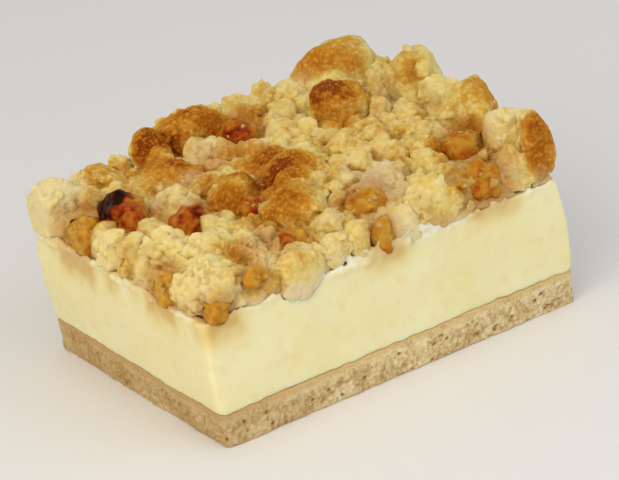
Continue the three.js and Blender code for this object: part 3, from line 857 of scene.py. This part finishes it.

# How a skin breaks up and bakes: the sizes of its granules, ragged bits, dents and patches, how far
# cream creeps up it and syrup spreads in it, and how its hollows and wider valleys are measured for
# painted shade.
GRANULE = 1.2 * MM
RAGGED = 1.5 * MM
DENT = 5 * MM
TONE_WAVE = 5 * MM
TONE_REACH = 1.25
LARGEST_TONED = 3 * MM
PATCH = 7 * MM
FINE_PATCH = 2.2 * MM
CREAM_RISE = 2.2 * MM
CREAM_RISE_WAVE = 2.4 * MM
CREAM_RISE_DEPTH = 1.6 * MM
CREAM_FADE = 2 * MM
SYRUP_REACH = 3.2 * MM
SYRUP_SAG = 0.6
HOLLOW_ROUNDS = 16
HOLLOW_DEPTH = 0.4 * MM
VALLEY_ROUNDS = 120
VALLEY_DEPTH = 1.3 * MM
OVERHANG_KEPT = 0.4


def crumb_tones(points, crumbs, own_tone):
    """How yellow each point is: as its crumb, or as the dough that carries the crumbs."""
    tones = own_tone + 0.25 * waves(points, TONE_WAVE, 3.0)
    if not crumbs:
        return tones
    tree = kdtree.KDTree(len(crumbs))
    for i, (middle, _, _) in enumerate(crumbs):
        tree.insert(middle, i)
    tree.balance()
    crumb_tone = [random.Random(seed + 50000).random() for _, _, seed in crumbs]
    for k, point in enumerate(points):
        _, i, apart = tree.find(point)
        if apart < TONE_REACH * crumbs[i][1] < LARGEST_TONED:
            tones[k] = crumb_tone[i]
    return tones


def trim_at_cuts(piece, give):
    """Presses what stands out beyond the block's cut sides back to them, but for a share give."""
    points, _ = points_of(piece.data)
    for axis in (0, 1):
        past = np.maximum(np.abs(points[:, axis]) - half[axis], 0)
        points[:, axis] -= np.sign(points[:, axis]) * past * (1 - give)
    piece.data.vertices.foreach_set("co", points.astype(np.float32).ravel())
    piece.data.update()


def thin_out(piece, share):
    """Keeps that share of a piece's faces, fewer where it is even and more where it is broken."""
    decimate = piece.modifiers.new("decimate", "DECIMATE")
    decimate.ratio = share
    depsgraph = bpy.context.evaluated_depsgraph_get()
    thinned = bpy.data.meshes.new_from_object(piece.evaluated_get(depsgraph))
    piece.modifiers.clear()
    piece.data = thinned
    thinned.shade_smooth()


def break_up(piece, crumbs, dents, grain, own_tone, share, hidden_below=0.0):
    """Breaks a piece's skin up into grains, and marks how it baked and where shade is painted."""
    points, normals = points_of(piece.data)
    shown = np.where((normals[:, 2] < -LEVEL) & (points[:, 2] < hidden_below), 0.0, 1.0)
    ragged = waves(points, RAGGED) + 0.8 * waves(points, RAGGED / 2)
    relief = grain * (0.3 - grains(points, GRANULE) + 0.8 * ragged)
    relief += dents * waves(points, DENT, 3.0)
    move_out(piece, normals, shown * relief)
    trim_at_cuts(piece, OVERHANG_KEPT)
    thin_out(piece, share)
    points, normals = points_of(piece.data)
    patchy = 0.07 * waves(points, FINE_PATCH, 8.0) + 0.16 * waves(points, PATCH, 9.0)
    uneven_rise = CREAM_RISE_DEPTH * waves(points, CREAM_RISE_WAVE, 5.0)
    creamed = FILLING_TOP + CREAM_RISE + uneven_rise - points[:, 2]
    beside_apple = 0.8 * near_apple(points, SYRUP_REACH, SYRUP_SAG)
    # The seams, hollows and valleys stored here carry painted shade into the material; the hollows
    # also draw the syrup together.
    store(
        piece,
        browned=level_near(points, BROWNED, 0.2, 0.1) + patchy,
        syrupy=np.maximum(level_near(points, SYRUPY, 0.0, 0.12), beside_apple),
        milky=np.maximum(level_near(points, MILKY, 0.0, 0.25), 0.7 * creamed / CREAM_FADE),
        yellow=crumb_tones(points, crumbs, own_tone),
        seam=grains(points, GRANULE),
        hollow=hollows(piece.data, HOLLOW_ROUNDS) / HOLLOW_DEPTH,
        valley=hollows(piece.data, VALLEY_ROUNDS) / VALLEY_DEPTH,
    )


# Streusel dough, baked: the fat lets light through, so the gaps glow warm. It is pale butter yellow
# where it stayed low, gold to brown where it stood up, with a dry skin of sugar and flour grains.
DOUGH_GRAIN = 0.4 * MM
DOUGH_GRANULE = 1.0 * MM
DOUGH_MOTTLE = 1.8 * MM
SUGAR_SPACING = 1.1 * MM
streusel, tree = new_material("baked_streusel")
coordinates = add_node(tree, "ShaderNodeTexCoord").outputs["Object"]
fine = add_node(
    tree,
    "ShaderNodeTexNoise",
    {"Vector": coordinates},
    {"Scale": 1 / DOUGH_GRAIN, "Detail": 3.0, "Roughness": 0.6},
).outputs["Fac"]
mottle = add_node(
    tree,
    "ShaderNodeTexNoise",
    {"Vector": coordinates},
    {"Scale": 1 / DOUGH_MOTTLE, "Detail": 3.0},
).outputs["Fac"]
marks = {
    name: add_node(tree, "ShaderNodeAttribute", attribute_name=name).outputs["Fac"]
    for name in ("browned", "syrupy", "milky", "yellow", "seam", "hollow", "valley")
}
uneven = add_node(
    tree,
    "ShaderNodeMapRange",
    {"Value": mottle},
    {"From Min": 0.3, "From Max": 0.7, "To Min": -0.08, "To Max": 0.08},
).outputs["Result"]
granules = add_node(
    tree,
    "ShaderNodeTexVoronoi",
    {"Vector": coordinates},
    {"Scale": 1 / DOUGH_GRANULE},
).outputs["Distance"]
# Painted shade and light on each granule: browner in the seams between granules and paler in their
# middles, more so where the dough browned.
between = add_node(
    tree,
    "ShaderNodeMath",
    {0: marks["seam"], 2: granules},
    {1: 0.7},
    operation="MULTIPLY_ADD",
).outputs["Value"]
between = add_node(
    tree,
    "ShaderNodeMapRange",
    {"Value": between},
    {"From Min": 0.2, "From Max": 0.9, "To Min": -0.22, "To Max": 0.32},
).outputs["Result"]
between = add_node(
    tree, "ShaderNodeMath", {0: between, 1: marks["browned"]}, operation="MULTIPLY"
).outputs["Value"]
browned = add_node(
    tree, "ShaderNodeMath", {0: marks["browned"], 1: uneven}, operation="ADD"
).outputs["Value"]
browned = add_node(
    tree, "ShaderNodeMath", {0: browned, 1: between}, operation="ADD"
).outputs["Value"]
dough_colour = add_node(
    tree,
    "ShaderNodeValToRGB",
    {"Fac": browned},
    stops=[
        (0.0, "#ecd992"),
        (0.2, "#dfc66c"),
        (0.4, "#c99832"),
        (0.6, "#c08322"),
        (0.8, "#ac6614"),
        (1.0, "#853f0a"),
    ],
).outputs["Color"]
plain = add_node(
    tree, "ShaderNodeMapRange", {"Value": marks["yellow"]}, {"To Min": 0.75, "To Max": 0.0}
).outputs["Result"]
unbrowned = add_node(
    tree, "ShaderNodeMapRange", {"Value": browned}, {"From Max": 0.6, "To Min": 1.0, "To Max": 0.0}
).outputs["Result"]
plain = add_node(
    tree, "ShaderNodeMath", {0: plain, 1: unbrowned}, operation="MULTIPLY"
).outputs["Value"]
milky = add_node(
    tree, "ShaderNodeMath", {0: marks["milky"]}, {1: 0.7}, operation="MULTIPLY"
).outputs["Value"]
# Painted shade: darker in the small hollows and in the wider valleys of the skin.
sink = add_node(
    tree, "ShaderNodeMath", {0: marks["hollow"]}, {1: 0.4}, operation="MULTIPLY"
).outputs["Value"]
valley = add_node(
    tree, "ShaderNodeMath", {0: marks["valley"]}, {1: 0.5}, operation="MULTIPLY"
).outputs["Value"]
soaked = add_node(
    tree,
    "ShaderNodeMath",
    {0: marks["hollow"]},
    {1: 0.35, 2: 0.65},
    operation="MULTIPLY_ADD",
).outputs["Value"]
soaked = add_node(
    tree, "ShaderNodeMath", {0: soaked, 1: marks["syrupy"]}, operation="MULTIPLY"
).outputs["Value"]
sugar = add_node(
    tree,
    "ShaderNodeTexVoronoi",
    {"Vector": coordinates},
    {"Scale": 1 / SUGAR_SPACING},
).outputs["Distance"]
sugar_share = add_node(
    tree,
    "ShaderNodeMapRange",
    {"Value": sugar},
    {"From Min": 0.1, "From Max": 0.24, "To Min": 0.5, "To Max": 0.0},
).outputs["Result"]
sugar_share = add_node(
    tree, "ShaderNodeMath", {0: sugar_share, 1: marks["browned"]}, operation="MULTIPLY"
).outputs["Value"]
# from the dough itself to what lies on it, with painted shade in the valleys and hollows
coats = [
    (plain, "#e6d8a4"),
    (milky, "#e2d4b6"),
    (valley, "#be8e34"),
    (sink, "#a86e1a"),
    (soaked, "#a8620f"),
    (sugar_share, "#e8b872"),
]
for share, colour in coats:
    dough_colour = add_node(
        tree,
        "ShaderNodeMix",
        {"Factor": share, "A": dough_colour},
        {"B": linear(colour)},
        data_type="RGBA",
    ).outputs["Result"]
height = add_node(
    tree,
    "ShaderNodeMath",
    {0: granules, 2: fine},
    {1: -1.0},
    operation="MULTIPLY_ADD",
).outputs["Value"]
dough_bump = add_node(
    tree, "ShaderNodeBump", {"Height": height}, {"Strength": 0.8, "Distance": 0.26 * MM}
).outputs["Normal"]
shader = add_node(
    tree,
    "ShaderNodeBsdfPrincipled",
    {"Base Color": dough_colour, "Normal": dough_bump},
    {
        "Roughness": 0.62,
        "Specular IOR Level": 0.05,
        "Subsurface Weight": 0.75,
        "Subsurface Radius": (1.0, 0.85, 0.55),
        "Subsurface Scale": 1.0 * MM,
    },
)
add_node(tree, "ShaderNodeOutputMaterial", {"Surface": shader.outputs["BSDF"]})

# The bed: crumbs baked together into a slab, with single crumbs all over it.
BED_VOXEL = 0.37 * MM
BED_SWELL = 0.6 * MM
BED_DENTS = 0.4 * MM
BED_GRAIN = 0.11 * MM
BED_TONE = 0.5
BED_SHARE = 0.52
bed_low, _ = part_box("crumble_bed")
made = cad_copy("crumble_bed", BED_SWELL)
add_crumbs(made, landed["crumble_bed"])
bed = one_skin("crumble_bed_baked", made, BED_VOXEL, 1)
merge_hidden(bed, (bed_low.z,))
bed_foot = bed_low.z + 1 * MM
break_up(bed, landed["crumble_bed"], BED_DENTS, BED_GRAIN, BED_TONE, BED_SHARE, bed_foot)
finish(bed, "crumble_bed", streusel)

# The larger lumps, each baked as a piece of its own with the crumbs that stuck to it. Two rose more
# than the others.
RISEN = {"crumb_back_crown": 1.0 * MM, "crumb_right_peak": 0.5 * MM}
LUMP_VOXEL = 0.3 * MM
LUMP_SHARE = 0.6
for name, (texture, own_tone) in LUMPS.items():
    swell, dents, grain, *_ = TEXTURES[texture]
    made = cad_copy(name, swell + RISEN.get(name, 0.0))
    bmesh.ops.subdivide_edges(made, edges=made.edges, cuts=1, use_grid_fill=True, smooth=0.6)
    add_crumbs(made, landed[name])
    lump = one_skin(f"{name}_baked", made, LUMP_VOXEL, 3)
    break_up(lump, landed[name], dents, grain, own_tone, LUMP_SHARE)
    finish(lump, name, streusel)

# Apple: diced, cooked soft under the crumble and in its juice. It is amber and half clear, red-brown
# where the sugar caught, and charred black at the corner that stuck out.

APPLE_SWELL = 0.45 * MM
APPLE_VOXEL = 0.36 * MM
APPLE_FOLD = 3.0 * MM
APPLE_FOLD_DEPTH = 1.2 * MM
APPLE_FIBRE = 1.3 * MM
APPLE_FIBRE_DEPTH = 0.22 * MM
APPLE_PATCH = 1.8 * MM

# Where the sugar on the apple caught: x, y, z and reach in millimetres, and how far it went, which
# is 1 or more where it charred
CAUGHT = [
    (-38.8, 18.2, 40.3, 4, 1.5), (-36.8, 14.2, 42.7, 3, 1.3), (-37.5, 22.5, 38.4, 4.5, 1.4),
    (-39.6, 12.5, 41.6, 3, 0.95), (-39.7, 10.3, 40.4, 3, 0.8),
    (-35.9, 10.8, 41.9, 3, 0.5), (-38.7, 8.7, 40.8, 3, 0.7), (-38.2, 6.3, 39.6, 3, 0.58),
    (-38.6, 2.3, 38.9, 3, 0.72), (-40.1, 10.4, 38.3, 2.5, 0.5), (-45.1, 17.3, 37.9, 4, 0.22),
    (-43.4, 25.4, 37.3, 3, 0.42), (-46.4, 14.1, 34.2, 3, 0.36), (-27.6, -5.4, 40.8, 2.5, 0.86),
    (-30.7, -4.6, 40.5, 3, 0.62), (-30.1, -7.6, 37.9, 3, 0.5), (-0.8, 25.4, 39.3, 3, 0.8),
    (1.9, 24.4, 42.2, 3, 0.68), (31.3, -25.5, 41.2, 4, 0.35), (29.5, -24.5, 39.5, 2.5, 0.5),
    (31.9, -27.3, 38.4, 2.5, 0.5), (28.6, -38.2, 36.8, 3.5, 0.38), (25.9, -37.3, 35.3, 2.5, 0.5),
    (1.7, -30.8, 39.6, 4, 0.28), (0.6, -28.2, 40.5, 2.5, 0.45), (1.1, -39.1, 35.6, 3, 0.2),
    (0.8, -37.0, 31.4, 2.5, 0.58), (-47.8, -21.1, 34.4, 4, 0.2), (-45.9, -15.5, 33.8, 2.5, 0.34),
    (-44.6, -39.7, 33.1, 3, 0.25), (-32.5, -38.5, 37.9, 3, 0.22), (-15.1, -11.0, 39.5, 3, 0.65),
    (-17.8, -25.1, 38.0, 2.5, 0.82), (-21.1, -33.1, 38.0, 3, 0.5), (-20.5, -31.2, 38.7, 2, 0.62),
]
apple, tree = new_material("baked_apple")
coordinates = add_node(tree, "ShaderNodeTexCoord").outputs["Object"]
patches = add_node(
    tree,
    "ShaderNodeTexNoise",
    {"Vector": coordinates},
    {"Scale": 1 / APPLE_PATCH, "Detail": 4.0},
).outputs["Fac"]
caught = add_node(tree, "ShaderNodeAttribute", attribute_name="caught").outputs["Fac"]
uneven = add_node(
    tree,
    "ShaderNodeMapRange",
    {"Value": patches},
    {"From Min": 0.3, "From Max": 0.7, "To Min": -0.22, "To Max": 0.22},
).outputs["Result"]
caught = add_node(tree, "ShaderNodeMath", {0: caught, 1: uneven}, operation="ADD").outputs["Value"]
apple_colour = add_node(
    tree,
    "ShaderNodeValToRGB",
    {"Fac": caught},
    stops=[
        (0.0, "#cea544"),
        (0.25, "#be8b2c"),
        (0.5, "#ab6018"),
        (0.7, "#902e06"),
        (0.85, "#4a1206"),
        (1.0, "#190704"),
    ],
).outputs["Color"]
apple_bump = add_node(
    tree, "ShaderNodeBump", {"Height": patches}, {"Strength": 0.5, "Distance": 0.3 * MM}
).outputs["Normal"]
shader = add_node(
    tree,
    "ShaderNodeBsdfPrincipled",
    {"Base Color": apple_colour, "Normal": apple_bump},
    {
        "Roughness": 0.4,
        "Specular IOR Level": 0.12,
        "Specular Tint": linear("#ffc888"),
        "Subsurface Weight": 0.45,
        "Subsurface Radius": (1.0, 0.5, 0.15),
        "Subsurface Scale": 2.5 * MM,
    },
)
add_node(tree, "ShaderNodeOutputMaterial", {"Surface": shader.outputs["BSDF"]})

for name in APPLES:
    dice = one_skin(f"{name}_baked", cad_copy(name, APPLE_SWELL), APPLE_VOXEL, 6)
    points, normals = points_of(dice.data)
    folds = waves(points, APPLE_FOLD, 2.0)
    fibres = waves(points * (1, 1, 0.4), APPLE_FIBRE)
    move_out(dice, normals, APPLE_FOLD_DEPTH * folds + APPLE_FIBRE_DEPTH * fibres)
    store(dice, caught=level_near(points, CAUGHT, 0.3, 0.1))
    finish(dice, name, apple)

# Studio: a pale table, a large warm light to the left of the camera and a weaker cool one to its
# right, and an even pale room that fills the shadows.

FLOOR = 3.0
ROOM_STRENGTH = 0.62
floor_mesh = bpy.data.meshes.new("table_top")
floor_corners = [(-FLOOR, -FLOOR, 0), (FLOOR, -FLOOR, 0), (FLOOR, FLOOR, 0), (-FLOOR, FLOOR, 0)]
floor_mesh.from_pydata(floor_corners, [], [(0, 1, 2, 3)])
floor = bpy.data.objects.new("table_top", floor_mesh)
bpy.context.scene.collection.objects.link(floor)
table, tree = new_material("matt_painted_table")
shader = add_node(
    tree,
    "ShaderNodeBsdfPrincipled",
    values={"Base Color": linear("#e9e8e6"), "Roughness": 0.6},
)
add_node(tree, "ShaderNodeOutputMaterial", {"Surface": shader.outputs["BSDF"]})
floor_mesh.materials.append(table)

world = bpy.data.worlds.new("pale_room")
world.use_nodes = True
background = world.node_tree.nodes["Background"]
background.inputs["Color"].default_value = linear("#f4f4f6")
background.inputs["Strength"].default_value = ROOM_STRENGTH
bpy.context.scene.world = world
bpy.context.scene.view_settings.view_transform = "Standard"

# azimuth and elevation from the object in degrees, distance and size in metres, power in watts
LIGHTS = {
    "key_panel": (-57, 42, 0.75, 0.6, 2.8, "#ffeed0"),
    "fill_panel": (25, 38, 0.8, 0.6, 1.6, "#dbe6ff"),
}
for name, (azimuth, elevation, distance, size, power, colour) in LIGHTS.items():
    lamp = bpy.data.lights.new(name, "AREA")
    lamp.size = size
    lamp.energy = power
    lamp.color = linear(colour)[:3]
    light = bpy.data.objects.new(name, lamp)
    a, e = math.radians(azimuth), math.radians(elevation)
    towards = Vector((math.sin(a) * math.cos(e), -math.cos(a) * math.cos(e), math.sin(e)))
    light.location = towards * distance
    light.rotation_mode = "QUATERNION"
    light.rotation_quaternion = towards.to_track_quat("Z", "Y")
    bpy.context.scene.collection.objects.link(light)

# The camera stands where the photograph's stood: a long lens, a little to the left of the long cut
# face and above it, tipped so that the block leans to the right in the picture.
IMAGE_WIDTH = 619
FOCAL_PIXELS = 5000
CAMERA_AZIMUTH = -27.21
CAMERA_ELEVATION = 24.19
CAMERA_ROLL = -10.44
CAMERA_DISTANCE = 1166 * MM
CAMERA_ASIDE = -1.67 * MM
CAMERA_RAISED = 19.71 * MM

lens = bpy.data.cameras.new("camera")
lens.sensor_width = 36
lens.lens = FOCAL_PIXELS / IMAGE_WIDTH * lens.sensor_width
camera = bpy.data.objects.new("camera", lens)
a, e = math.radians(CAMERA_AZIMUTH), math.radians(CAMERA_ELEVATION)
back = Vector((math.sin(a) * math.cos(e), -math.cos(a) * math.cos(e), math.sin(e)))
level = Vector((math.cos(a), math.sin(a), 0))
right = Matrix.Rotation(math.radians(CAMERA_ROLL), 3, back) @ level
above = back.cross(right)
camera.rotation_mode = "QUATERNION"
camera.rotation_quaternion = Matrix((right, above, back)).transposed().to_quaternion()
camera.location = back * CAMERA_DISTANCE + right * CAMERA_ASIDE + above * CAMERA_RAISED
bpy.context.scene.collection.objects.link(camera)
bpy.context.scene.camera = camera
